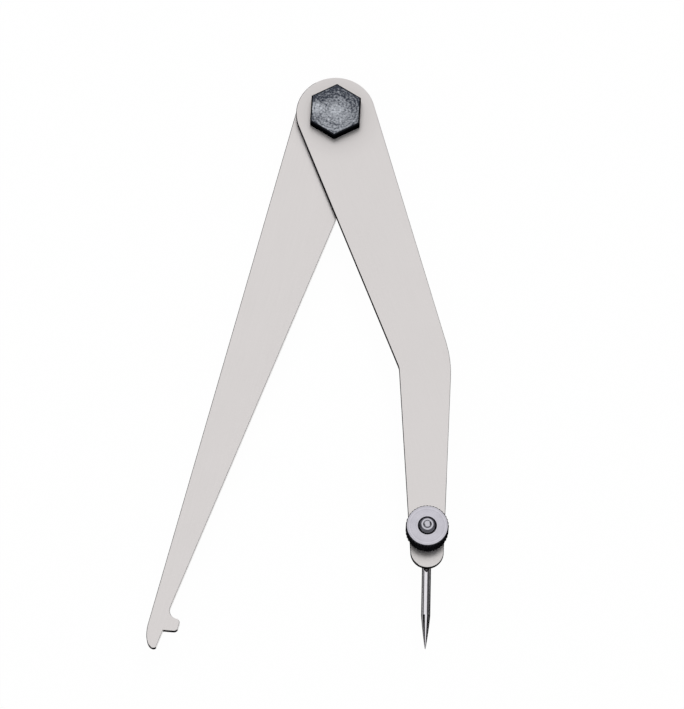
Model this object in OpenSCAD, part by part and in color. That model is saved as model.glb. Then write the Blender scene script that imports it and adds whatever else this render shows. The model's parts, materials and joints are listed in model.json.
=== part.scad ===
// Odd-leg caliper of 150 mm, for scribing a line parallel to an edge.
// It lies on its back: the pivot axis is Z, the front faces +Z, and the points lie towards -Y.
// The origin is on the pivot axis, in the back face of the pivot nut. Sizes are millimetres.

/* [Pivot joint] */
// Diameter of the round eye at the head of both legs
eye_d = 20.8; // [18:0.2:26]
// Diameter of the pivot bolt's shank
pivot_d = 8; // [5:0.5:9]
// Width across the flats of the bolt's hexagon head
head_af = 13; // [11:0.5:16]
// Height of the bolt's head
head_h = 2.6; // [2:0.2:4]
// Clockwise turn of the bolt's head from points up and down
head_turn = 3; // [-30:1:30]
// Width across the flats of the pivot nut
nut_af = 13; // [11:0.5:16]
// Height of the pivot nut
nut_h = 4; // [3:0.5:6]
// Counterclockwise turn of the pivot nut
nut_turn = 12; // [0:1:60]
// How far the bolt's end stays below the back face of the nut
bolt_sink = 0.3; // [0.1:0.1:0.8]
// Chamfer on the bolt's end
bolt_chamfer = 0.7; // [0.3:0.1:1]
// Radial clearance of the bolt in the legs, the washers and the nut
pivot_fit = 0.05; // [0.02:0.01:0.1]

/* [Washers] */
// Outer diameter of the washer between the legs
friction_d = 16; // [12:0.5:18]
// Thickness of the washer between the legs
friction_t = 0.3; // [0.2:0.1:0.6]
// Outer diameter of the washer behind the heel leg
thrust_d = 17; // [12:0.5:18]
// Thickness of the washer behind the heel leg
thrust_t = 0.6; // [0.4:0.1:1]
// Outer diameter of the disc spring
spring_d = 16; // [12:0.5:18]
// Sheet thickness of the disc spring
spring_t = 0.5; // [0.3:0.1:0.6]
// Height that the disc spring keeps under load
spring_h = 0.9; // [0.8:0.1:1.4]

/* [Legs] */
// Thickness of both legs
leg_t = 1.6; // [1.2:0.1:2.4]
// Angle of the heel leg's back edge from the shank, as the caliper lies
rest_angle = 14.5; // [8:0.5:60]

/* [Scriber leg] */
// Length from the pivot to the bend
arm_l = 74.2; // [70:0.2:110]
// Angle of the bend
bend_angle = 18.1; // [10:0.1:24]
// Width of the leg at the bend
bend_w = 13.5; // [12:0.1:16]
// Rounding of the bend's outer corner
bend_r_out = 30; // [5:1:40]
// Rounding of the bend's inner corner
bend_r_in = 4.4; // [2:0.2:20]
// Length from the bend to the middle of the round end
shank_l = 50.4; // [46:0.2:60]
// Diameter of the round end
end_d = 8.4; // [8.2:0.1:11]
// Distance of the clamp's hole above the middle of the round end
clamp_up = 5.2; // [4:0.1:8]

/* [Heel leg] */
// Length from the pivot to the blade's widest place
wide_l = 30; // [20:1:40]
// Width of the blade there, from the straight back edge
wide_w = 17.8; // [16:0.1:19.5]
// Length from the pivot to the blade's middle width
mid_l = 97; // [60:1:110]
// Width of the blade at that middle place
mid_w = 9.6; // [9:0.1:11]
// Width of the neck above the nose
neck_w = 4; // [3.6:0.1:4.6]
// Length from the pivot to the working shoulder below the nose
heel_l = 147.2; // [142:0.1:170]
// Height of the nose above the shoulder
nose_h = 3.7; // [3.2:0.1:5]
// Reach of the nose from the back edge
nose_reach = 7.6; // [7:0.1:9]
// Rounding of the nose's upper corner
nose_r_top = 1; // [0.5:0.1:1.6]
// Rounding of the nose's lower corner
nose_r_low = 1.2; // [0.5:0.1:2]
// Rounding of the throat above the nose
throat_r = 2.2; // [0.5:0.1:2.4]
// Slope of the shoulder, which rises to the tip of the nose
heel_slope = 9.5; // [0:0.5:12]
// Length of the toe below the shoulder
toe_l = 5.1; // [4.6:0.1:8]
// Width of the toe at the shoulder, from the back edge
toe_w = 4.1; // [3.8:0.1:4.8]
// Width of the toe at its end
toe_end_w = 3.5; // [3.5:0.1:4]
// Width over which the back edge curves in to the end of the toe
toe_curve_w = 2.7; // [1:0.1:2.7]
// Length over which the back edge curves in to the end of the toe
toe_curve_l = 5.9; // [2:0.1:6.4]
// Rounding of the toe's inner corner
toe_r = 0.8; // [0.2:0.1:0.8]

/* [Needle clamp] */
// Diameter of the clamp stud's shank
stud_d = 4; // [3:0.2:4.4]
// Diameter of the stud's head, behind the needle
stud_head_d = 5.6; // [5:0.2:6.4]
// Wall of the stud's head behind the needle
stud_wall = 1.2; // [0.8:0.1:1.6]
// Length of the stud beyond the front face of the knurled nut
stud_proud = 1.4; // [0.8:0.1:3]
// Chamfer on the stud's front end
stud_chamfer = 0.45; // [0.2:0.05:0.6]
// Radial clearance of the stud in the leg, the seat and the nut
stud_fit = 0.05; // [0.02:0.01:0.1]
// Diameter of the grooved seat
seat_d = 8; // [7:0.2:8.4]
// Thickness of the grooved seat
seat_t = 1.6; // [1.4:0.1:1.7]
// Wall of the seat between the leg and the needle
seat_web = 0.45; // [0.3:0.05:0.6]
// Diameter of the knurled nut
knurl_d = 10.8; // [9:0.2:13]
// Height of the knurled nut
knurl_h = 4.9; // [3.5:0.1:7]
// Depth of the knurl's grooves
knurl_depth = 0.25; // [0.1:0.05:0.35]
// Width of one groove of the knurl
knurl_pitch = 0.85; // [0.6:0.05:1.2]
// Chamfer on the rims of the knurled nut
knurl_chamfer = 0.3; // [0.2:0.05:0.5]
// Diameter of the countersink in the knurled nut's face
sink_d = 4.8; // [4.6:0.1:6]

/* [Scriber needle] */
// Diameter of the needle
needle_d = 2.3; // [1.8:0.1:2.4]
// Length of the needle
needle_l = 48; // [42:1:60]
// Reach of the point below the middle of the clamp
point_reach = 29.8; // [26:0.2:38]
// Length of the ground point
point_l = 8.7; // [5:0.1:12]
// Bulge of the point's sides beyond a straight cone
point_bulge = 0.09; // [0:0.01:0.15]
// Diameter of the flat at the very tip
tip_flat = 0.15; // [0.1:0.05:0.4]
// Lean of the needle towards the heel leg
needle_lean = 1.4; // [-4:0.1:4]
// Radial clearance of the needle in its hole and groove
needle_fit = 0.05; // [0.02:0.01:0.1]

/* [Hidden] */
$fn = 96;
steel = "#d7d3d2";
black_oxide = "#4a4e57";
turned_steel = "#bab8c3";
brass = "#b8a06a";
hard_steel = "#8e8e94";

// An extra length by which a cutting shape passes the face that it cuts
over = 1;
// How far a straight edge runs into the circle that it leaves, so that the two meet cleanly
bite = 0.01;
// Step of the arcs that round an outline's corners, in degrees
arc_step = 5;
// Step of the rows that curve the needle's point, as a share of its length
point_step = 0.125;
// Angle between the pivot nut's chamfer and its flat face
nut_bevel = 30;
// Angle between the knurled nut's chamfer and its flat face
knurl_bevel = 45;
// Side clearance between the stud's head and the seat when the needle is clamped
clamp_gap = 0.1;

eye_r = eye_d / 2;
pivot_bore = pivot_d + 2 * pivot_fit;
stud_bore = stud_d + 2 * stud_fit;

// Heights in the stack, from the back face of the pivot nut upwards
spring_z = nut_h;
thrust_z = spring_z + spring_h;
rear_z = thrust_z + thrust_t;
friction_z = rear_z + leg_t;
front_z = friction_z + friction_t;
face_z = front_z + leg_t;

// Places on the scriber leg, whose shank lies along -Y
bend_at = [arm_l * sin(bend_angle), -arm_l * cos(bend_angle)];
end_at = bend_at - [0, shank_l];
clamp_at = end_at + [0, clamp_up];
// Half of the mitre line across the bend
mitre = bend_w / 2 * [1, tan(bend_angle / 2)];

// Heights in the needle clamp
needle_z = front_z - seat_web - needle_fit - needle_d / 2;
seat_z = front_z - seat_t;
stud_head_top = seat_z - clamp_gap;
stud_head_z = needle_z - needle_d / 2 - needle_fit - stud_wall;
stud_end_z = face_z + knurl_h + stud_proud;

// Point where a line from p ends, just inside the circle of radius r round the origin that it touches,
// left (1) or right (-1) of the line from the origin to p
function touch(p, r, side) =
    let (inner = r - bite, a = atan2(p[1], p[0]) + side * acos(inner / norm(p)))
    inner * [cos(a), sin(a)];

// Angle folded into the range from -180 to 180
function fold(a) = a > 180 ? a - 360 : a < -180 ? a + 360 : a;

// Corner p between the points before and after it, as an arc of radius r
function corner(before, p, after, r) =
    let (u = (before - p) / norm(before - p), v = (after - p) / norm(after - p),
         half = acos(u * v) / 2,
         middle = p + (u + v) / norm(u + v) * r / sin(half),
         from = p + u * r / tan(half) - middle, to = p + v * r / tan(half) - middle,
         start = atan2(from[1], from[0]), sweep = fold(atan2(to[1], to[0]) - start),
         steps = ceil(abs(sweep) / arc_step))
    [for (i = [0 : steps]) middle + r * [cos(start + sweep * i / steps), sin(start + sweep * i / steps)]];

// Outline through corners given as [x, y, radius], where radius 0 stays sharp
function outline(corners) =
    let (n = len(corners), xy = [for (c = corners) [c[0], c[1]]])
    [for (i = [0 : n - 1])
        each corners[i][2] == 0 ? [xy[i]]
            : corner(xy[(i + n - 1) % n], xy[i], xy[(i + 1) % n], corners[i][2])];

// Disc with a bore, its underside on the plane z = 0
module washer(outer_d, bore_d, t) {
    difference() {
        cylinder(h = t, d = outer_d);
        translate([0, 0, -over]) cylinder(h = t + 2 * over, d = bore_d);
    }
}

// Hexagon with points towards +Y and -Y
module hexagon(across_flats, h) {
    rotate(30) cylinder(h = h, d = across_flats / cos(30), $fn = 6);
}

// Flat bar from the eye to the bend and on to the round end, as one blank
module front_leg() {
    out = bend_at + mitre;
    in = bend_at - mitre;
    eye_out = touch(out, eye_r, 1);
    eye_in = touch(in, eye_r, -1);
    end_out = end_at + touch(out - end_at, end_d / 2, -1);
    end_in = end_at + touch(in - end_at, end_d / 2, 1);
    color(steel) translate([0, 0, front_z]) difference() {
        linear_extrude(leg_t) union() {
            circle(d = eye_d);
            translate(end_at) circle(d = end_d);
            polygon(outline([
                [eye_in[0], eye_in[1], 0],
                [in[0], in[1], bend_r_in],
                [end_in[0], end_in[1], 0],
                [end_out[0], end_out[1], 0],
                [out[0], out[1], bend_r_out],
                [eye_out[0], eye_out[1], 0]]));
        }
        translate([0, 0, -over]) cylinder(h = leg_t + 2 * over, d = pivot_bore);
        translate([clamp_at[0], clamp_at[1], -over]) cylinder(h = leg_t + 2 * over, d = stud_bore);
    }
}

// Heel leg in its own frame: straight back edge on the left, nose and toe at the bottom
module heel_outline() {
    back = -eye_r;
    neck_at = -(heel_l - nose_h);
    toe_end = -(heel_l + toe_l);
    nose_low = -heel_l + (nose_reach - toe_w) * tan(heel_slope);
    wide = [back + wide_w, -wide_l];
    eye_in = touch(wide, eye_r, 1);
    union() {
        circle(d = eye_d);
        polygon(outline([
            [back, 0, 0],
            for (a = [0 : arc_step : 90])
                [back + toe_curve_w * (1 - cos(a)), toe_end + toe_curve_l * (1 - sin(a)), 0],
            [back + toe_end_w, toe_end, toe_r],
            [back + toe_w, -heel_l, 0],
            [back + nose_reach, nose_low, nose_r_low],
            [back + nose_reach, neck_at, nose_r_top],
            [back + neck_w, neck_at, throat_r],
            [back + mid_w, -mid_l, 0],
            [wide[0], wide[1], 0],
            [eye_in[0], eye_in[1], 0]]));
    }
}

// Leg with the heel, turned to the angle at which the caliper lies
module rear_leg() {
    color(steel) translate([0, 0, rear_z]) rotate(-rest_angle) difference() {
        linear_extrude(leg_t) heel_outline();
        translate([0, 0, -over]) cylinder(h = leg_t + 2 * over, d = pivot_bore);
    }
}

// Bolt turned from hexagon bar: a low head on the front and a plain shank through both legs
module pivot_bolt() {
    color(black_oxide) union() {
        translate([0, 0, face_z]) rotate(-head_turn) hexagon(head_af, head_h);
        translate([0, 0, bolt_sink + bolt_chamfer])
            cylinder(h = face_z - bolt_sink - bolt_chamfer + over, d = pivot_d);
        translate([0, 0, bolt_sink]) cylinder(h = bolt_chamfer, d1 = pivot_d - 2 * bolt_chamfer, d2 = pivot_d);
    }
}

// Thin disc between the legs, which gives the joint its even drag
module friction_washer() {
    color(brass) translate([0, 0, friction_z]) washer(friction_d, pivot_bore, friction_t);
}

// Flat washer that keeps the spring off the turning leg
module thrust_washer() {
    color(turned_steel) translate([0, 0, thrust_z]) washer(thrust_d, pivot_bore, thrust_t);
}

// Coned disc that keeps the joint under load: small end on the nut, wide end on the washer
module disc_spring() {
    color(black_oxide) translate([0, 0, spring_z]) rotate_extrude() polygon([
        [pivot_bore / 2, 0],
        [spring_d / 2, spring_h - spring_t],
        [spring_d / 2, spring_h],
        [pivot_bore / 2, spring_t]]);
}

// Solid of a nut's height whose rims are cut back by a cone from the given face diameter
module chamfered_disc(face_d, outer_d, h, bevel) {
    drop = (outer_d - face_d) / 2 * tan(bevel);
    rotate_extrude() polygon([
        [0, 0], [face_d / 2, 0], [outer_d / 2, drop], [outer_d / 2, h - drop], [face_d / 2, h], [0, h]]);
}

// Thin hexagon nut behind the legs, threaded on the bolt
module pivot_nut() {
    corner_d = nut_af / cos(30);
    color(black_oxide) difference() {
        rotate(nut_turn) intersection() {
            hexagon(nut_af, nut_h);
            chamfered_disc(nut_af, corner_d + over, nut_h, nut_bevel);
        }
        translate([0, 0, -over]) cylinder(h = nut_h + 2 * over, d = pivot_bore);
    }
}

// Moves a child to the clamp, with X and Y along and across the leaning needle
module at_clamp() {
    translate([clamp_at[0], clamp_at[1], 0]) rotate(-needle_lean) children();
}

// Round bar of the needle's hole or groove, lying along Y at the needle's height
module needle_passage(length) {
    translate([0, length / 2, needle_z]) rotate([90, 0, 0])
        cylinder(h = length, d = needle_d + 2 * needle_fit);
}

// Collar behind the leg, with a half-round groove in which the needle lies
module needle_seat() {
    color(turned_steel) at_clamp() difference() {
        translate([0, 0, seat_z]) cylinder(h = seat_t, d = seat_d);
        translate([0, 0, seat_z - over]) cylinder(h = seat_t + 2 * over, d = stud_bore);
        needle_passage(seat_d + 2 * over);
    }
}

// Stud with a cross hole, which draws the needle into the seat
module clamp_stud() {
    color(hard_steel) at_clamp() difference() {
        union() {
            translate([0, 0, stud_head_z]) cylinder(h = stud_head_top - stud_head_z, d = stud_head_d);
            translate([0, 0, stud_head_z]) cylinder(h = stud_end_z - stud_chamfer - stud_head_z, d = stud_d);
            translate([0, 0, stud_end_z - stud_chamfer])
                cylinder(h = stud_chamfer, d1 = stud_d, d2 = stud_d - 2 * stud_chamfer);
        }
        needle_passage(stud_head_d + 2 * over);
    }
}

// Round nut with a straight knurl and a countersunk face
module knurled_nut() {
    grooves = round(PI * knurl_d / knurl_pitch);
    sink_h = (sink_d - stud_d) / 2;
    color(turned_steel) translate([clamp_at[0], clamp_at[1], face_z]) difference() {
        intersection() {
            linear_extrude(knurl_h) polygon([for (i = [0 : 2 * grooves - 1])
                (knurl_d / 2 - (i % 2) * knurl_depth) * [cos(180 * i / grooves), sin(180 * i / grooves)]]);
            chamfered_disc(knurl_d - 2 * knurl_chamfer, knurl_d + over, knurl_h, knurl_bevel);
        }
        translate([0, 0, -over]) cylinder(h = knurl_h + 2 * over, d = stud_bore);
        translate([0, 0, knurl_h - sink_h]) cylinder(h = sink_h + over, d1 = stud_d, d2 = sink_d + 2 * over);
    }
}

// Round needle with a ground point, held in the stud
module scriber_needle() {
    r = needle_d / 2;
    tip_r = tip_flat / 2;
    color(hard_steel) at_clamp() translate([0, -point_reach, needle_z]) rotate([-90, 0, 0])
        rotate_extrude() polygon([
            [0, 0],
            for (t = [0 : point_step : 1]) [tip_r + (r - tip_r) * t + 4 * point_bulge * t * (1 - t), point_l * t],
            [r, needle_l - r / 2],
            [r / 2, needle_l],
            [0, needle_l]]);
}

front_leg();
rear_leg();
pivot_bolt();
friction_washer();
thrust_washer();
disc_spring();
pivot_nut();
needle_seat();
clamp_stud();
knurled_nut();
scriber_needle();
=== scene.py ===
import json
import math

import bmesh
import bpy
from mathutils import Matrix, Vector


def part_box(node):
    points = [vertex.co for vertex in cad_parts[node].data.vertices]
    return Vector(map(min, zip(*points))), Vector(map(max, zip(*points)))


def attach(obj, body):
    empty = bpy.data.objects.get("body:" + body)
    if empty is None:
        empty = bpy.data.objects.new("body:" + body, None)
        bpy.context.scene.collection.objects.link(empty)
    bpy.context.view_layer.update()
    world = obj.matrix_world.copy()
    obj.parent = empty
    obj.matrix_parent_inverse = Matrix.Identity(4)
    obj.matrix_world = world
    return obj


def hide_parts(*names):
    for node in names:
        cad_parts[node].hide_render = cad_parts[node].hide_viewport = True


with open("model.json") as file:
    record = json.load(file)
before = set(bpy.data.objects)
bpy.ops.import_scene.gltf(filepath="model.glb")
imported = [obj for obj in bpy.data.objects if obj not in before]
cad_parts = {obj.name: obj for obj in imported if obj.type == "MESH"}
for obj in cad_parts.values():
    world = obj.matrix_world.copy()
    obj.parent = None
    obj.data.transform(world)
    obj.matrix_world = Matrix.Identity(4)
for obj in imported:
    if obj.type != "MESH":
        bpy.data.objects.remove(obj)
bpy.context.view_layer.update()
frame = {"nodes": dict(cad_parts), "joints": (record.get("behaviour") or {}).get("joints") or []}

# The camera looks down on the caliper from the side of the points, 21 degrees off the pivot axis.
# Its lens is long and far away, so the two legs keep their true shapes almost free of perspective.
VIEW_TILT = math.radians(21)
VIEW_DISTANCE = 0.9
VIEW_CENTRE = (0.00169, -0.06804)
LENS = 178.2
leg_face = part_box("front_leg")[1].z
aim = Vector((*VIEW_CENTRE, leg_face))
towards_camera = Vector((0, -math.sin(VIEW_TILT), math.cos(VIEW_TILT)))
camera = bpy.data.objects.new("camera", bpy.data.cameras.new("camera"))
bpy.context.scene.collection.objects.link(camera)
camera.data.lens = LENS
camera.location = aim + VIEW_DISTANCE * towards_camera
camera.rotation_euler = (-towards_camera).to_track_quat("-Z", "Y").to_euler()
bpy.context.scene.camera = camera
bpy.context.scene.view_settings.view_transform = "Standard"


# The studio is a white light tent, brightest overhead and behind the tool. A dark flag stands at each
# side, and they meet blacker at the front, so that polished steel shows its form. The floor is paper.
def linear(colour):
    """An sRGB hex colour as linear red, green, blue and alpha."""
    parts = [int(colour[i:i + 2], 16) / 255 for i in (1, 3, 5)]
    return [c / 12.92 if c <= 0.04045 else ((c + 0.055) / 1.055) ** 2.4 for c in parts] + [1.0]


def add(tree, kind, inputs=None, **settings):
    """Adds a node with its settings. Each input is a value, or the output that is linked to it."""
    made = tree.nodes.new(kind)
    for name, value in settings.items():
        setattr(made, name, value)
    for name, value in (inputs or {}).items():
        if isinstance(value, bpy.types.NodeSocket):
            tree.links.new(value, made.inputs[name])
        else:
            made.inputs[name].default_value = value
    return made


# The tent's brightest direction, its light away from there and near it, and the cosines between them
TENT_TOP = Vector((0, 0.725, 0.688)).normalized()
TENT_LIGHT = (0.75, 1.28)
TENT_SPREAD = (-0.3, 0.6)
# The flags' ends along Y, the width of their blurred edges, and their inner edges along X and their
# light, at the front and beside the tool. All places are shares of the direction in which they lie.
FLAG_ENDS = (-0.05, 0.66)
FLAG_BLUR = 0.08
FLAG_FRONT = {"at": 0.17, "left": -0.33, "right": 0.50, "light": 0.015}
FLAG_SIDE = {"at": 0.30, "left": -0.75, "right": 0.38, "light": 0.12}
world = bpy.data.worlds.new("studio")
world.use_nodes = True
bpy.context.scene.world = world
tree = world.node_tree
tree.nodes.clear()
direction = add(tree, "ShaderNodeTexCoord").outputs["Generated"]
axes = add(tree, "ShaderNodeSeparateXYZ", {0: direction}).outputs
flag = {}
for name in ("left", "right", "light"):
    flag[name] = add(tree, "ShaderNodeMapRange", {
        "Value": axes[1], "From Min": FLAG_FRONT["at"], "From Max": FLAG_SIDE["at"],
        "To Min": FLAG_FRONT[name], "To Max": FLAG_SIDE[name]}).outputs[0]
beyond_left = add(tree, "ShaderNodeMath", {0: flag["left"], 1: axes[0]}, operation="SUBTRACT").outputs[0]
beyond_right = add(tree, "ShaderNodeMath", {0: axes[0], 1: flag["right"]}, operation="SUBTRACT").outputs[0]
beyond = add(tree, "ShaderNodeMath", {0: beyond_left, 1: beyond_right}, operation="MAXIMUM").outputs[0]
hidden = add(tree, "ShaderNodeMapRange", {
    "Value": beyond, "From Min": -FLAG_BLUR / 2, "From Max": FLAG_BLUR / 2}).outputs[0]
for end, outside in zip(FLAG_ENDS, (-FLAG_BLUR, FLAG_BLUR)):
    within = add(tree, "ShaderNodeMapRange", {
        "Value": axes[1], "From Min": end + outside, "From Max": end}).outputs[0]
    hidden = add(tree, "ShaderNodeMath", {0: hidden, 1: within}, operation="MULTIPLY").outputs[0]
along = add(tree, "ShaderNodeVectorMath", {0: direction, 1: TENT_TOP}, operation="DOT_PRODUCT")
tent = add(tree, "ShaderNodeMapRange", {
    "Value": along.outputs["Value"], "From Min": TENT_SPREAD[0], "From Max": TENT_SPREAD[1],
    "To Min": TENT_LIGHT[0], "To Max": TENT_LIGHT[1]})
studio = add(tree, "ShaderNodeMix", {0: hidden, 2: tent.outputs[0], 3: flag["light"]})
rays = add(tree, "ShaderNodeLightPath").outputs
lit = add(tree, "ShaderNodeBackground", {"Strength": studio.outputs[0]})
white = add(tree, "ShaderNodeBackground", {"Color": linear("#ffffff"), "Strength": 1.0})
shown = add(tree, "ShaderNodeMixShader", {
    0: rays["Is Camera Ray"], 1: lit.outputs[0], 2: white.outputs[0]})
add(tree, "ShaderNodeOutputWorld", {"Surface": shown.outputs[0]})


def sheet(name, low, high, height):
    """A flat rectangle of the stage, from its low corner to its high one."""
    mesh = bpy.data.meshes.new(name)
    corners = [(low[0], low[1]), (high[0], low[1]), (high[0], high[1]), (low[0], high[1])]
    mesh.from_pydata([(x, y, height) for x, y in corners], [], [(0, 1, 2, 3)])
    made = bpy.data.objects.new(name, mesh)
    bpy.context.scene.collection.objects.link(made)
    made.data.materials.append(bpy.data.materials.new(name))
    made.active_material.use_nodes = True
    made.active_material.node_tree.nodes.clear()
    return made


FLOOR_REACH = 3.0
FLOOR_DROP = 0.0001
PAPER_WHITE = 0.97
floor = sheet("white_paper", (-FLOOR_REACH, -FLOOR_REACH), (FLOOR_REACH, FLOOR_REACH), -FLOOR_DROP)
tree = floor.active_material.node_tree
# Seen straight or in a mirror the paper is an even white. All other rays see it lit by the studio.
rays = add(tree, "ShaderNodeLightPath").outputs
straight = add(tree, "ShaderNodeMath", {0: rays["Is Camera Ray"], 1: rays["Is Glossy Ray"]},
               operation="MAXIMUM")
straight = add(tree, "ShaderNodeMath", {
    0: straight.outputs[0], 1: rays["Is Transmission Ray"]}, operation="MAXIMUM")
share = add(tree, "ShaderNodeMath", {0: straight.outputs[0], 1: PAPER_WHITE}, operation="MULTIPLY")
paper = add(tree, "ShaderNodeBsdfDiffuse", {"Color": linear("#ffffff")})
glow = add(tree, "ShaderNodeEmission", {"Color": linear("#ffffff"), "Strength": 1.0})
surface = add(tree, "ShaderNodeMixShader", {
    0: share.outputs[0], 1: paper.outputs[0], 2: glow.outputs[0]})
# From below the paper is left out, so that the back of the tool can be seen.
below = add(tree, "ShaderNodeNewGeometry").outputs["Backfacing"]
clear = add(tree, "ShaderNodeBsdfTransparent")
surface = add(tree, "ShaderNodeMixShader", {0: below, 1: surface.outputs[0], 2: clear.outputs[0]})
add(tree, "ShaderNodeOutputMaterial", {"Surface": surface.outputs[0]})

# A black card lies under the needle. Only reflections see it, and it keeps the needle's sides dark.
# It reaches beyond the needle by these lengths, at the left and at the right.
CARD_SIDES = (0.035, 0.2)
needle_low, needle_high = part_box("scriber_needle")
card = sheet("black_card", (needle_low.x - CARD_SIDES[0], needle_low.y),
             (needle_high.x + CARD_SIDES[1], needle_high.y), -FLOOR_DROP / 2)
tree = card.active_material.node_tree
matt = add(tree, "ShaderNodeBsdfDiffuse", {"Color": linear("#0a0a0a")})
add(tree, "ShaderNodeOutputMaterial", {"Surface": matt.outputs[0]})
card.visible_camera = False
card.visible_diffuse = False
card.visible_transmission = False
card.visible_shadow = False

# Position and width in metres and power in watts of each lamp. All are square and aim at the tool.
LAMPS = {
    "key": ((0.25, 0.45, 0.80), 0.40, 1.6),
    "fill": ((-0.50, -0.30, 0.70), 0.60, 0.7),
}
for name, (place, width, power) in LAMPS.items():
    lamp = bpy.data.objects.new(name, bpy.data.lights.new(name, "AREA"))
    lamp.data.size = width
    lamp.data.energy = power
    lamp.location = place
    lamp.rotation_euler = (aim - Vector(place)).to_track_quat("-Z", "Y").to_euler()
    lamp.visible_glossy = False
    bpy.context.scene.collection.objects.link(lamp)


# The two legs are blanks of 1.6 mm steel sheet. Their faces are ground to an even satin. The edges on
# their right are painted light, a painted highlight, and the others dark, the saw's finish darkened by
# painted shade. All corners are broken.
MM = 0.001
# Edges beyond these angles are crisp: SHARP on most pieces, and FACET on the legs. Faces within FLAT
# of each other are one face, and points within MERGE are one point.
SHARP = math.radians(30)
FACET = math.radians(12)
FLAT = math.radians(0.2)
MERGE = 1e-7


def material(name, colour, roughness):
    """Starts a metal finish: returns it with its node tree and its Principled shader."""
    made = bpy.data.materials.new(name)
    made.use_nodes = True
    made.node_tree.nodes.clear()
    shader = add(made.node_tree, "ShaderNodeBsdfPrincipled", {
        "Base Color": linear(colour), "Roughness": roughness, "Metallic": 1.0})
    add(made.node_tree, "ShaderNodeOutputMaterial", {"Surface": shader.outputs[0]})
    return made, made.node_tree, shader


def millimetres(tree, centre=(0, 0, 0), turn=0.0, stretch=(1, 1, 1)):
    """Object coordinates in millimetres, from a centre on the tool, turned and stretched."""
    moved = add(tree, "ShaderNodeMapping", {
        "Vector": add(tree, "ShaderNodeTexCoord").outputs["Object"],
        "Location": centre, "Rotation": (0, 0, turn)}, vector_type="TEXTURE")
    return add(tree, "ShaderNodeMapping", {
        "Vector": moved.outputs[0], "Scale": [s / MM for s in stretch]}).outputs[0]


def circles(tree, centre, per_mm):
    """Uneven circles round an axis through the centre, as a tool leaves them, and the radius in mm."""
    flat = millimetres(tree, centre, stretch=(1, 1, 0))
    radius = add(tree, "ShaderNodeVectorMath", {0: flat}, operation="LENGTH").outputs["Value"]
    marks = add(tree, "ShaderNodeTexNoise", {
        "W": radius, "Scale": per_mm, "Detail": 3.0, "Roughness": 0.6}, noise_dimensions="1D")
    return marks.outputs["Fac"], radius


# Radii round the pivot in mm, beyond which the legs never rub and within which they rub fully, and the
# roughness that the rubbing leaves
RUBBED = (14.0, 7.0)
RUBBED_ROUGHNESS = 0.45


def satin_steel(name, turn):
    """Sheet steel ground along one direction: pale warm grey, with a fine straight grain.
    The grit leaves scratches of 0.05 mm, drawn here 0.2 mm wide so that they show."""
    made, tree, shader = material(name, "#d7d3d2", 0.29)
    grain = add(tree, "ShaderNodeTexNoise", {
        "Vector": millimetres(tree, turn=turn, stretch=(1, 0.02, 1)),
        "Scale": 5.0, "Detail": 4.0, "Roughness": 0.7}).outputs["Fac"]
    # The legs rub on each other and under the head, which leaves dull and faint circles round the pivot.
    rubbed, radius = circles(tree, (0, 0, 0), 2.0)
    near = add(tree, "ShaderNodeMapRange", {
        "Value": radius, "From Min": RUBBED[0], "From Max": RUBBED[1]}).outputs[0]
    marks = add(tree, "ShaderNodeMix", {0: near, 2: grain, 3: rubbed}).outputs[0]
    # Colour sockets of a mix repeat their names, so they are set by number.
    tint = add(tree, "ShaderNodeMix", {
        0: marks, 6: linear("#d3cfce"), 7: linear("#dbd7d6")}, data_type="RGBA").outputs[2]
    tree.links.new(tint, shader.inputs["Base Color"])
    cloud = add(tree, "ShaderNodeTexNoise", {
        "Vector": millimetres(tree), "Scale": 0.08, "Detail": 3.0}).outputs["Fac"]
    rough = add(tree, "ShaderNodeMapRange", {"Value": cloud, "To Min": 0.26, "To Max": 0.32}).outputs[0]
    rough = add(tree, "ShaderNodeMix", {0: near, 2: rough, 3: RUBBED_ROUGHNESS})
    tree.links.new(rough.outputs[0], shader.inputs["Roughness"])
    bump = add(tree, "ShaderNodeBump", {"Height": marks, "Strength": 0.1, "Distance": 0.02 * MM})
    tree.links.new(bump.outputs[0], shader.inputs["Normal"])
    return made


def edge_with_painted_light(name):
    """The sheet's edge, painted light or dark by the faces' attribute "painted_lit_side": light as a
    painted highlight, and dark as the saw's finish darkened by painted shade. Its streaks across the sheet
    are drawn 0.3 mm wide, about twice their real width."""
    made, tree, shader = material(name, "#292728", 0.45)
    painted_lit_side = add(tree, "ShaderNodeAttribute", attribute_name="painted_lit_side").outputs["Fac"]
    streaks = add(tree, "ShaderNodeTexNoise", {
        "Vector": millimetres(tree, stretch=(1, 1, 0.1)), "Scale": 3.0, "Detail": 3.0}).outputs["Fac"]
    tints = []
    # The first pair is the dark finish, the saw's tone darkened by painted shade; the second is the light
    # finish, a painted highlight.
    for dark, light in (("#1d1c1d", "#353334"), ("#d6d3d2", "#e9e7e6")):
        tints.append(add(tree, "ShaderNodeMix", {
            0: streaks, 6: linear(dark), 7: linear(light)}, data_type="RGBA").outputs[2])
    tint = add(tree, "ShaderNodeMix", {0: painted_lit_side, 6: tints[0], 7: tints[1]}, data_type="RGBA")
    tree.links.new(tint.outputs[2], shader.inputs["Base Color"])
    # The dark faces also keep their reflection dark at grazing angles: painted shade.
    grazing = add(tree, "ShaderNodeMix", {
        0: painted_lit_side, 6: linear("#3a3a3a"), 7: linear("#ffffff")}, data_type="RGBA")
    tree.links.new(grazing.outputs[2], shader.inputs["Specular Tint"])
    rough = add(tree, "ShaderNodeMapRange", {"Value": painted_lit_side, "To Min": 0.45, "To Max": 0.3})
    tree.links.new(rough.outputs[0], shader.inputs["Roughness"])
    bump = add(tree, "ShaderNodeBump", {"Height": streaks, "Strength": 0.1, "Distance": 0.03 * MM})
    tree.links.new(bump.outputs[0], shader.inputs["Normal"])
    return made


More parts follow.
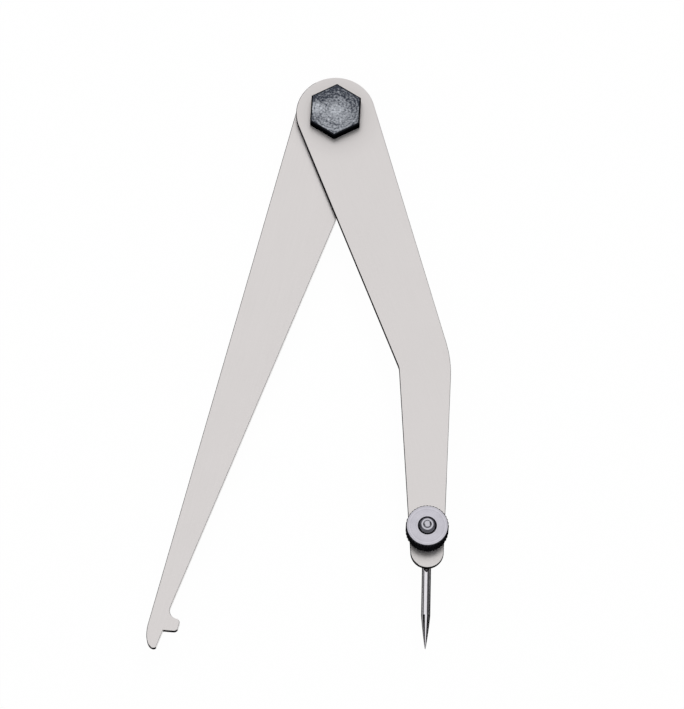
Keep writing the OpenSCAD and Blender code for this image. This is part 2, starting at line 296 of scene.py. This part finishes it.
def shape_of(node):
    """The shape of a CAD node, with its loose triangles merged into whole faces."""
    shape = bmesh.new()
    shape.from_mesh(frame["nodes"][node].data)
    bmesh.ops.remove_doubles(shape, verts=shape.verts, dist=MERGE)
    bmesh.ops.dissolve_limit(shape, angle_limit=FLAT, verts=shape.verts, edges=shape.edges)
    return shape


def mark_corners(shape, low=-math.inf, high=math.inf):
    """Marks the sharp edges of a shape between two heights, for break_corners."""
    weight = shape.edges.layers.float.new("bevel_weight_edge")
    for edge in shape.edges:
        height = (edge.verts[0].co.z + edge.verts[1].co.z) / 2
        if low < height < high and edge.calc_face_angle(0) > SHARP:
            edge[weight] = 1


def piece(name, shape, materials, body, sharp=SHARP):
    """Makes a piece of a shape, with its materials and its body."""
    mesh = bpy.data.meshes.new(name)
    shape.to_mesh(mesh)
    shape.free()
    for finish in materials:
        mesh.materials.append(finish)
    mesh.shade_smooth()
    mesh.set_sharp_from_angle(angle=sharp)
    made = bpy.data.objects.new(name, mesh)
    bpy.context.scene.collection.objects.link(made)
    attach(made, body)
    return made


def break_corners(made, width, segments=3, finish=-1):
    """Breaks the marked corners of a piece. They take the material with the number finish."""
    bevel = made.modifiers.new("broken_corners", "BEVEL")
    bevel.limit_method = "WEIGHT"
    bevel.width = width
    bevel.segments = segments
    bevel.use_clamp_overlap = False
    bevel.harden_normals = True
    bevel.material = finish


# Name of each leg's piece, with its body and the turn of its grain from the Y axis, in degrees
LEGS = {
    "front_leg": ("bent_leg", "scriber_leg", 18.1),
    "rear_leg": ("heel_blade", "heel_leg", -14.5),
}
LEG_CORNER = 0.14
# Sideways shares of a face's normal: beyond WALL it is part of the edge, and a broken corner that leans
# to the left beyond SHADED_CORNER is as dark as the edge, as painted shade. A face is painted light, a
# painted highlight, fully at an x of LIT_X and a y of LIT_Y, and not at all BLEND below them.
WALL = 0.6
SHADED_CORNER = -0.2
LIT_X = 0.5
LIT_Y = -0.45
BLEND = 0.35
painted_edge_steel = edge_with_painted_light("leg_edge_painted_light")
for node, (name, body, turn) in LEGS.items():
    shape = shape_of(node)
    corners = [edge for edge in shape.edges if edge.calc_face_angle(0) > SHARP]
    bmesh.ops.bevel(shape, geom=corners, offset=LEG_CORNER * MM, segments=2, profile=0.5,
                    affect="EDGES", clamp_overlap=False)
    painted_lit_side = shape.faces.layers.float.new("painted_lit_side")
    for face in shape.faces:
        side = face.normal.xy
        # Walls, and corners that lean left, take the dark edge finish as painted shade; faces that look
        # right and not down get their share of the light finish, a painted highlight.
        face.material_index = int(side.length > WALL or side.x < SHADED_CORNER)
        reach = [min(1, max(0, 1 + (share - full) / BLEND))
                 for share, full in ((side.x, LIT_X), (side.y, LIT_Y))]
        face[painted_lit_side] = reach[0] * reach[1]
    leg = piece(name, shape, [satin_steel(name + "_satin", math.radians(turn)), painted_edge_steel], body,
                FACET)
    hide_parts(node)


# The pivot bolt is turned from hexagon bar and blackened. Its face is rubbed bright in patches, with a
# painted highlight in a patch at the left, and circles from the lathe still show in it, while its flats
# and its edges stay black.
def blackened_steel(name, dark, light, roughness):
    """Black oxide on steel: a thin, hard, blue-black skin with faint clouds of 1 to 2 mm. It stays
    dark at grazing angles, unlike bare steel."""
    made, tree, shader = material(name, dark, roughness)
    shader.inputs["Specular Tint"].default_value = linear("#2a2a2c")
    cloud = add(tree, "ShaderNodeTexNoise", {
        "Vector": millimetres(tree), "Scale": 0.7, "Detail": 5.0, "Roughness": 0.65}).outputs["Fac"]
    tint = add(tree, "ShaderNodeMix", {
        0: cloud, 6: linear(dark), 7: linear(light)}, data_type="RGBA").outputs[2]
    tree.links.new(tint, shader.inputs["Base Color"])
    rough = add(tree, "ShaderNodeMapRange", {
        "Value": cloud, "To Min": roughness - 0.06, "To Max": roughness + 0.08})
    tree.links.new(rough.outputs[0], shader.inputs["Roughness"])
    bump = add(tree, "ShaderNodeBump", {"Height": cloud, "Strength": 0.15, "Distance": 0.05 * MM})
    tree.links.new(bump.outputs[0], shader.inputs["Normal"])
    return made


# Wear of the bolt's face with painted light added, from which it turns bright between 0 and 1: the wear
# goes up from the rim inwards between two radii, a painted highlight goes up in a patch at the left
# between two more, and four patterns add to it, of which one turns the face darker towards the top.
# Radii are in mm, and centres in metres. The sum starts low, because the patterns add about 1.8 to it.
WEAR_RADII = (6.0, 1.0)
WEAR_START = (-1.68, -1.28)
HIGHLIGHT_CENTRE = (-0.0052, 0.0006, 0)
HIGHLIGHT_RADII = (2.6, 0.8)
HIGHLIGHT_GAIN = 0.42
CLOUD_CENTRE = (0.002, 0.001, 0)
WEIGHTS = {"upwards": -0.036, "cloud": 0.45, "marks": 0.9, "specks": 2.2}


def rubbed_black_and_highlight(name):
    """The bolt's face: oxide worn to the steel in specks of 0.4 mm, most at the middle, over circles from
    the lathe, with a painted highlight at the left side and darker towards the top."""
    made, tree, shader = material(name, "#6f737d", 0.34)
    marks, radius = circles(tree, (0, 0, 0), 1.3)
    specks = add(tree, "ShaderNodeTexNoise", {
        "Vector": millimetres(tree), "Scale": 1.9, "Detail": 3.0, "Roughness": 0.7}).outputs["Fac"]
    cloud = add(tree, "ShaderNodeTexNoise", {
        "Vector": millimetres(tree, CLOUD_CENTRE), "Scale": 0.3, "Detail": 2.0}).outputs["Fac"]
    wear_and_painted_light = add(tree, "ShaderNodeMapRange", {
        "Value": radius, "From Min": WEAR_RADII[0], "From Max": WEAR_RADII[1],
        "To Min": WEAR_START[0], "To Max": WEAR_START[1]}).outputs[0]
    # A painted highlight: the face turns brighter in a patch at the left.
    highlight = add(tree, "ShaderNodeVectorMath", {
        0: millimetres(tree, HIGHLIGHT_CENTRE, stretch=(1, 1, 0))}, operation="LENGTH")
    highlight = add(tree, "ShaderNodeMapRange", {
        "Value": highlight.outputs["Value"], "From Min": HIGHLIGHT_RADII[0], "From Max": HIGHLIGHT_RADII[1],
        "To Max": HIGHLIGHT_GAIN}).outputs[0]
    wear_and_painted_light = add(tree, "ShaderNodeMath", {0: highlight, 1: wear_and_painted_light}, operation="ADD").outputs[0]
    # The face turns darker towards the top.
    upwards = add(tree, "ShaderNodeSeparateXYZ", {0: millimetres(tree)}).outputs[1]
    patterns = {"upwards": upwards, "cloud": cloud, "marks": marks, "specks": specks}
    for pattern, weight in WEIGHTS.items():
        wear_and_painted_light = add(tree, "ShaderNodeMath", {0: patterns[pattern], 1: weight, 2: wear_and_painted_light},
                   operation="MULTIPLY_ADD").outputs[0]
    tint = add(tree, "ShaderNodeMix", {
        0: wear_and_painted_light, 6: linear("#3c4049"), 7: linear("#d3d7de")}, data_type="RGBA").outputs[2]
    tree.links.new(tint, shader.inputs["Base Color"])
    bump = add(tree, "ShaderNodeBump", {"Height": marks, "Strength": 0.25, "Distance": 0.03 * MM})
    tree.links.new(bump.outputs[0], shader.inputs["Normal"])
    return made


def cut_off(shape, height, keep_above):
    """Cuts a shape level at a height and closes the cut."""
    bmesh.ops.bisect_plane(
        shape, geom=shape.verts[:] + shape.edges[:] + shape.faces[:], dist=MERGE,
        plane_co=(0, 0, height), plane_no=(0, 0, 1), clear_inner=keep_above,
        clear_outer=not keep_above)
    bmesh.ops.holes_fill(shape, edges=[e for e in shape.edges if e.is_boundary], sides=0)


def lathe(profile, segments, closed=False):
    """Turns a profile of (radius, height) in mm round the Z axis, from axis to axis or as a ring."""
    shape = bmesh.new()
    points = [shape.verts.new((radius * MM, 0, height * MM)) for radius, height in profile]
    pairs = list(zip(points, points[1:]))
    if closed:
        pairs.append((points[-1], points[0]))
    edges = [shape.edges.new(pair) for pair in pairs]
    bmesh.ops.spin(shape, geom=points + edges, axis=(0, 0, 1), cent=(0, 0, 0),
                   angle=math.tau, steps=segments)
    bmesh.ops.remove_doubles(shape, verts=shape.verts, dist=MERGE)
    bmesh.ops.recalc_face_normals(shape, faces=shape.faces)
    return shape


def groove_tree():
    """Geometry Nodes that cut V grooves into a turned piece round the Z axis. Grooves gives how many
    lie side by side, and Rise how many turns they make in a metre: a knurl has no rise, and a
    right-hand thread has minus one groove. Outside the share Core of the crest's radius, faces that
    are less level than Steepness take the material Finish."""
    tree = bpy.data.node_groups.new("v_grooves", "GeometryNodeTree")
    tree.interface.new_socket("Geometry", in_out="INPUT", socket_type="NodeSocketGeometry")
    for name in ("Crest radius", "Depth", "Grooves", "Rise", "Core", "Steepness"):
        tree.interface.new_socket(name, in_out="INPUT", socket_type="NodeSocketFloat")
    tree.interface.new_socket("Finish", in_out="INPUT", socket_type="NodeSocketMaterial")
    tree.interface.new_socket("Geometry", in_out="OUTPUT", socket_type="NodeSocketGeometry")
    given = add(tree, "NodeGroupInput").outputs
    place = add(tree, "GeometryNodeInputPosition").outputs[0]
    axes = add(tree, "ShaderNodeSeparateXYZ", {0: place}).outputs
    flat = add(tree, "ShaderNodeCombineXYZ", {0: axes[0], 1: axes[1]}).outputs[0]
    radius = add(tree, "ShaderNodeVectorMath", {0: flat}, operation="LENGTH").outputs["Value"]
    # The phase goes up by one in each groove, and the wave goes from its crest to its bottom and back.
    angle = add(tree, "ShaderNodeMath", {0: axes[1], 1: axes[0]}, operation="ARCTAN2").outputs[0]
    turns = add(tree, "ShaderNodeMath", {0: angle, 1: math.tau}, operation="DIVIDE").outputs[0]
    around = add(tree, "ShaderNodeMath", {0: turns, 1: given["Grooves"]}, operation="MULTIPLY")
    phase = add(tree, "ShaderNodeMath", {
        0: axes[2], 1: given["Rise"], 2: around.outputs[0]}, operation="MULTIPLY_ADD").outputs[0]
    wave = add(tree, "ShaderNodeMath", {0: phase, 1: 0.5}, operation="PINGPONG").outputs[0]
    # What lies outside the grooves' surface is pulled in to it. The wave is 0.5 at the bottom.
    depth = add(tree, "ShaderNodeMath", {0: given["Depth"], 1: -2.0}, operation="MULTIPLY").outputs[0]
    limit = add(tree, "ShaderNodeMath", {
        0: wave, 1: depth, 2: given["Crest radius"]}, operation="MULTIPLY_ADD").outputs[0]
    share = add(tree, "ShaderNodeMath", {0: limit, 1: radius}, operation="DIVIDE").outputs[0]
    share = add(tree, "ShaderNodeMath", {0: share, 1: 1.0}, operation="MINIMUM").outputs[0]
    scale = add(tree, "ShaderNodeCombineXYZ", {0: share, 1: share, 2: 1.0}).outputs[0]
    cut = add(tree, "ShaderNodeVectorMath", {0: place, 1: scale}, operation="MULTIPLY").outputs[0]
    moved = add(tree, "GeometryNodeSetPosition", {"Geometry": given["Geometry"], "Position": cut})
    real = add(tree, "GeometryNodeRealizeInstances", {"Geometry": moved.outputs[0]})
    up = add(tree, "ShaderNodeSeparateXYZ", {
        0: add(tree, "GeometryNodeInputNormal").outputs[0]}).outputs[2]
    level = add(tree, "ShaderNodeMath", {0: up}, operation="ABSOLUTE").outputs[0]
    beyond = add(tree, "ShaderNodeMath", {0: radius, 1: given["Crest radius"]}, operation="DIVIDE")
    outside = add(tree, "ShaderNodeMath", {0: beyond.outputs[0], 1: given["Core"]},
                  operation="GREATER_THAN")
    side = add(tree, "ShaderNodeMath", {0: level, 1: given["Steepness"]}, operation="LESS_THAN")
    side = add(tree, "ShaderNodeMath", {0: side.outputs[0], 1: outside.outputs[0]},
               operation="MULTIPLY")
    finished = add(tree, "GeometryNodeSetMaterial", {
        "Geometry": real.outputs[0], "Selection": side.outputs[0], "Material": given["Finish"]})
    add(tree, "NodeGroupOutput", {"Geometry": finished.outputs[0]})
    return tree


v_grooves = groove_tree()


def grooved(name, shape, materials, centre, values):
    """Cuts the grooves into a turned shape, and moves it to its centre on the tool."""
    mesh = bpy.data.meshes.new(name)
    shape.to_mesh(mesh)
    shape.free()
    for finish in materials:
        mesh.materials.append(finish)
    blank = bpy.data.objects.new(name, mesh)
    bpy.context.scene.collection.objects.link(blank)
    modifier = blank.modifiers.new("grooves", "NODES")
    modifier.node_group = v_grooves
    for socket in v_grooves.interface.items_tree:
        if socket.in_out == "INPUT" and socket.name in values:
            modifier[socket.identifier] = values[socket.name]
    bpy.context.view_layer.update()
    made = bpy.data.meshes.new_from_object(blank.evaluated_get(bpy.context.evaluated_depsgraph_get()))
    bpy.data.objects.remove(blank)
    made.transform(Matrix.Translation(centre))
    turned = bmesh.new()
    turned.from_mesh(made)
    return turned, list(made.materials)


# Rows of points for each turn of a thread
THREAD_ROWS = 14


def thread_rows(radius, low, high, chamfer, pitch):
    """Profile of a threaded end between two heights in mm, in rows that are fine enough for a pitch.
    A positive chamfer is at the top, and a negative one at the bottom."""
    rows = math.ceil((high - low) / pitch * THREAD_ROWS)
    heights = [low + (high - low) * i / rows for i in range(rows + 1)]
    top = chamfer > 0
    room = [(high - z) if top else (z - low) for z in heights]
    return [(radius - max(0.0, abs(chamfer) - r), z) for r, z in zip(room, heights)]


# The head's face is all that lies within FACE_DEPTH of its top.
FACE_DEPTH = 0.1
HEAD_CORNER = 0.4
BOLT_RADIUS = 4.0
BOLT_PITCH = 1.25
BOLT_THREAD_DEPTH = 0.6
BOLT_CHAMFER = 0.7
BOLT_SIDES = 96
bolt_low, bolt_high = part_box("pivot_bolt")
nut_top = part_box("pivot_nut")[1].z
black = blackened_steel("black_oxide", "#17181c", "#2b2d33", 0.38)
shape = shape_of("pivot_bolt")
cut_off(shape, nut_top, keep_above=True)
top_face = bolt_high.z - FACE_DEPTH * MM
for face in shape.faces:
    face.material_index = int(face.calc_center_median().z < top_face)
mark_corners(shape, low=top_face)
bolt = piece("hexagon_bolt", shape, [rubbed_black_and_highlight("rubbed_oxide_and_highlight"), black], "scriber_leg")
break_corners(bolt, HEAD_CORNER * MM, segments=1, finish=1)
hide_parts("pivot_bolt")

profile = thread_rows(BOLT_RADIUS, bolt_low.z / MM, nut_top / MM, -BOLT_CHAMFER, BOLT_PITCH)
shape = lathe([(0, bolt_low.z / MM)] + profile + [(0, nut_top / MM)], BOLT_SIDES)
threaded, finishes = grooved("bolt_end", shape, [black], (0, 0, 0), {
    "Crest radius": BOLT_RADIUS * MM, "Depth": BOLT_THREAD_DEPTH * MM, "Grooves": -1.0,
    "Rise": 1 / (BOLT_PITCH * MM), "Core": 0.78, "Steepness": 0.8, "Finish": black})
piece("bolt_end", threaded, finishes, "scriber_leg")


# The pivot's pack lies between and behind the legs: a brass disc, a flat steel washer and a coned
# spring, all punched from sheet, and a thin hexagon nut that is blackened like the bolt.
def turned_steel(name, colour, dark, roughness, centre=(0, 0, 0), per_mm=3.0):
    """Steel turned on a lathe: cool pale grey with fine circles, which are drawn 0.3 mm apart, wider
    than the real feed of 0.1 mm. The light spreads across the circles."""
    made, tree, shader = material(name, colour, roughness)
    marks = circles(tree, centre, per_mm)[0]
    cloud = add(tree, "ShaderNodeTexNoise", {
        "Vector": millimetres(tree), "Scale": 0.5, "Detail": 4.0}).outputs["Fac"]
    mixed = add(tree, "ShaderNodeMix", {0: 0.35, 2: marks, 3: cloud}).outputs[0]
    tint = add(tree, "ShaderNodeMix", {
        0: mixed, 6: linear(dark), 7: linear(colour)}, data_type="RGBA").outputs[2]
    tree.links.new(tint, shader.inputs["Base Color"])
    shader.inputs["Anisotropic"].default_value = 0.4
    outwards = millimetres(tree, centre, stretch=(1, 1, 0))
    tree.links.new(outwards, shader.inputs["Tangent"])
    bump = add(tree, "ShaderNodeBump", {"Height": marks, "Strength": 0.25, "Distance": 0.02 * MM})
    tree.links.new(bump.outputs[0], shader.inputs["Normal"])
    return made


def rolled_brass(name):
    """Brass sheet: rolled, so it has a faint straight grain, and it dulls to a brown where it rubs."""
    made, tree, shader = material(name, "#c9a860", 0.3)
    grain = add(tree, "ShaderNodeTexNoise", {
        "Vector": millimetres(tree, stretch=(1, 0.05, 1)), "Scale": 3.0, "Detail": 3.0}).outputs["Fac"]
    rubbed = circles(tree, (0, 0, 0), 2.0)[0]
    mixed = add(tree, "ShaderNodeMix", {0: 0.5, 2: grain, 3: rubbed}).outputs[0]
    tint = add(tree, "ShaderNodeMix", {
        0: mixed, 6: linear("#9c7c3c"), 7: linear("#d8b970")}, data_type="RGBA").outputs[2]
    tree.links.new(tint, shader.inputs["Base Color"])
    return made


# Upward shares of the normals between which a face is a chamfer
LEANING = 0.2
LEVEL = 0.95
washer_steel = turned_steel("washer_steel", "#c4c3c9", "#a9a8ae", 0.32)
worn_black = blackened_steel("worn_oxide", "#3c3f46", "#74777f", 0.34)
# Piece, node, materials, slot and width of the broken corners of each disc. The nut has its chamfers.
PACK = (
    ("brass_disc", "friction_washer", [rolled_brass("rolled_brass")], "brass_sheet", 0.04),
    ("flat_washer", "thrust_washer", [washer_steel], "bright_steel", 0.12),
    ("coned_spring", "disc_spring", [black, worn_black], "blackened_steel", 0.10),
    ("hexagon_nut", "pivot_nut", [black, worn_black], "blackened_steel", 0.0),
)
for name, node, finishes, slot, width in PACK:
    shape = shape_of(node)
    mark_corners(shape)
    for face in shape.faces:
        face.material_index = int(LEANING < abs(face.normal.z) < LEVEL) * (len(finishes) - 1)
    made = piece(name, shape, finishes, "scriber_leg")
    if width:
        break_corners(made, width * MM, finish=len(finishes) - 1)
    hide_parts(node)


# The needle clamp: a collar with a groove lies behind the leg, and a stud with a cross hole passes
# through it, through the leg and into a round nut. Tightening the nut pulls the needle into the groove.
COLLAR_CORNER = 0.12
STUD_CORNER = 0.15
STUD_RADIUS = 2.0
STUD_PITCH = 0.7
STUD_THREAD_DEPTH = 0.38
STUD_CHAMFER = 0.5
STUD_SIDES = 96
# The stud's threaded end begins this deep below the nut's face.
STUD_END_DEPTH = 1.4
# Radii of the stud's flat end and of the button on it, each with its depth below the very top. The
# share Core of the grooves is low enough for the button's wall to be as dark as the thread.
BUTTON = ((1.46, 0.30), (1.08, 0.30), (0.78, 0.08), (0.70, 0.03), (0.45, 0.01), (0.0, 0.0))
stud_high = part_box("clamp_stud")[1]
clamp_nut_low, clamp_nut_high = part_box("knurled_nut")
clamp = Vector((*((clamp_nut_low + clamp_nut_high) / 2).xy, 0))
seat_steel = turned_steel("seat_steel", "#c4c3c9", "#a09fa6", 0.3, clamp)
shape = shape_of("needle_seat")
mark_corners(shape)
seat = piece("grooved_collar", shape, [seat_steel], "seat")
break_corners(seat, COLLAR_CORNER * MM)
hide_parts("needle_seat")

stud_steel = turned_steel("stud_steel", "#dcdbe2", "#9a99a1", 0.2, clamp, 4.0)
# The stud's thread, the button's wall and the nut's countersink take this dark finish.
dark_thread = blackened_steel("dark_thread_finish", "#2e2e34", "#8c8c95", 0.36)
stud_cut = clamp_nut_high.z - STUD_END_DEPTH * MM
shape = shape_of("clamp_stud")
cut_off(shape, stud_cut, keep_above=False)
mark_corners(shape, high=leg_face)
stud = piece("clamp_stud_shank", shape, [stud_steel], "stud")
break_corners(stud, STUD_CORNER * MM)
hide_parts("clamp_stud")

stud_top = stud_high.z / MM
profile = thread_rows(STUD_RADIUS, stud_cut / MM, stud_top - BUTTON[0][1], STUD_CHAMFER, STUD_PITCH)
profile += [(radius, stud_top - drop) for radius, drop in BUTTON]
shape = lathe([(0, stud_cut / MM)] + profile, STUD_SIDES)
threaded, finishes = grooved("stud_end", shape, [stud_steel], clamp, {
    "Crest radius": STUD_RADIUS * MM, "Depth": STUD_THREAD_DEPTH * MM, "Grooves": -1.0,
    "Rise": 1 / (STUD_PITCH * MM), "Core": 0.45, "Steepness": 0.9, "Finish": dark_thread})
piece("stud_end", threaded, finishes, "stud")

# The nut is turned from bar, knurled straight along its rim, faced, and countersunk round the hole.
# Its face is bright. Its knurl and the chamfers of its rim are painted dark as painted shade, and its
# countersink is kept dark.
KNURLS = 40
KNURL_STEPS = 8
KNURL_DEPTH = 0.18
NUT_RADIUS = 5.4
NUT_CHAMFER = 0.3
CHAMFER_ROWS = 3
BORE_RADIUS = 2.05
SINK_RADIUS = 2.4
nut_base = clamp_nut_low.z / MM
nut_face = clamp_nut_high.z / MM
rim = [(NUT_RADIUS - NUT_CHAMFER * (1 - i / CHAMFER_ROWS), NUT_CHAMFER * i / CHAMFER_ROWS)
       for i in range(CHAMFER_ROWS + 1)]
profile = [(BORE_RADIUS, nut_base)]
profile += [(radius, nut_base + height) for radius, height in rim]
profile += [(radius, nut_face - height) for radius, height in reversed(rim)]
profile += [(SINK_RADIUS, nut_face), (BORE_RADIUS, nut_face - SINK_RADIUS + BORE_RADIUS)]
nut_steel = turned_steel("nut_steel", "#e0dee6", "#a3a1aa", 0.27, clamp)
# The knurl and the rim's chamfers take this dark finish: painted shade.
knurl_painted_shade = blackened_steel("knurl_side_painted_shade", "#26262b", "#4a4a50", 0.4)
shape = lathe(profile, KNURLS * KNURL_STEPS, closed=True)
for face in shape.faces:
    face.material_index = int(face.calc_center_median().xy.length < SINK_RADIUS * MM)
turned, finishes = grooved("knurled_knob", shape, [nut_steel, dark_thread], clamp, {
    "Crest radius": NUT_RADIUS * MM, "Depth": KNURL_DEPTH * MM, "Grooves": float(KNURLS),
    "Rise": 0.0, "Core": 0.78, "Steepness": 0.8, "Finish": knurl_painted_shade})
nut = piece("knurled_knob", turned, finishes, "clamp_nut")
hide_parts("knurled_nut")


# The scriber needle is a hardened steel rod, polished along its length. Its point is ground to a
# long cone with slightly bulging sides, which meets the rod in a crisp edge.
def polished_steel(name, along):
    """Hardened steel, polished lengthwise: grey and nearly a mirror, with hair lines along it.
    The lines are drawn 0.1 mm wide, wider than a real polish leaves them."""
    made, tree, shader = material(name, "#e0dee3", 0.10)
    hair = add(tree, "ShaderNodeTexNoise", {
        "Vector": millimetres(tree, turn=along, stretch=(1, 0.005, 1)),
        "Scale": 8.0, "Detail": 2.0}).outputs["Fac"]
    tint = add(tree, "ShaderNodeMix", {
        0: hair, 6: linear("#d9d7dc"), 7: linear("#e6e4e9")}, data_type="RGBA").outputs[2]
    tree.links.new(tint, shader.inputs["Base Color"])
    rough = add(tree, "ShaderNodeMapRange", {"Value": hair, "To Min": 0.08, "To Max": 0.12})
    tree.links.new(rough.outputs[0], shader.inputs["Roughness"])
    return made


NEEDLE_RADIUS = 1.15
NEEDLE_LENGTH = 48.0
POINT_LENGTH = 8.7
POINT_BULGE = 0.09
POINT_ROWS = 16
TIP_RADIUS = 0.075
TAIL_TAPER = 0.575
NEEDLE_SIDES = 120
# Even the low edge between the cone and the rod is crisp.
CRISP = math.radians(4)
slide = next(joint for joint in frame["joints"] if joint["name"] == "needle_slide")
rod_axis = Vector(slide["axis"]).normalized()
ground = []
for row in range(POINT_ROWS + 1):
    share = row / POINT_ROWS
    cone = TIP_RADIUS + (NEEDLE_RADIUS - TIP_RADIUS) * share
    bulge = 4 * POINT_BULGE * share * (1 - share)
    ground.append((cone + bulge, POINT_LENGTH * share))
shape = lathe([(0, 0)] + ground + [
    (NEEDLE_RADIUS, NEEDLE_LENGTH - TAIL_TAPER), (NEEDLE_RADIUS - TAIL_TAPER, NEEDLE_LENGTH),
    (0, NEEDLE_LENGTH)], NEEDLE_SIDES)
needle_middle = (needle_low + needle_high) / 2
tip = needle_middle - rod_axis * NEEDLE_LENGTH / 2 * MM
upright = Vector((0, 0, 1)).rotation_difference(rod_axis).to_matrix().to_4x4()
shape.transform(Matrix.Translation(tip) @ upright)
lean = math.atan2(-rod_axis.x, rod_axis.y)
needle = piece("scriber_point", shape, [polished_steel("polished_rod", lean)], "needle",
               CRISP)
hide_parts("scriber_needle")
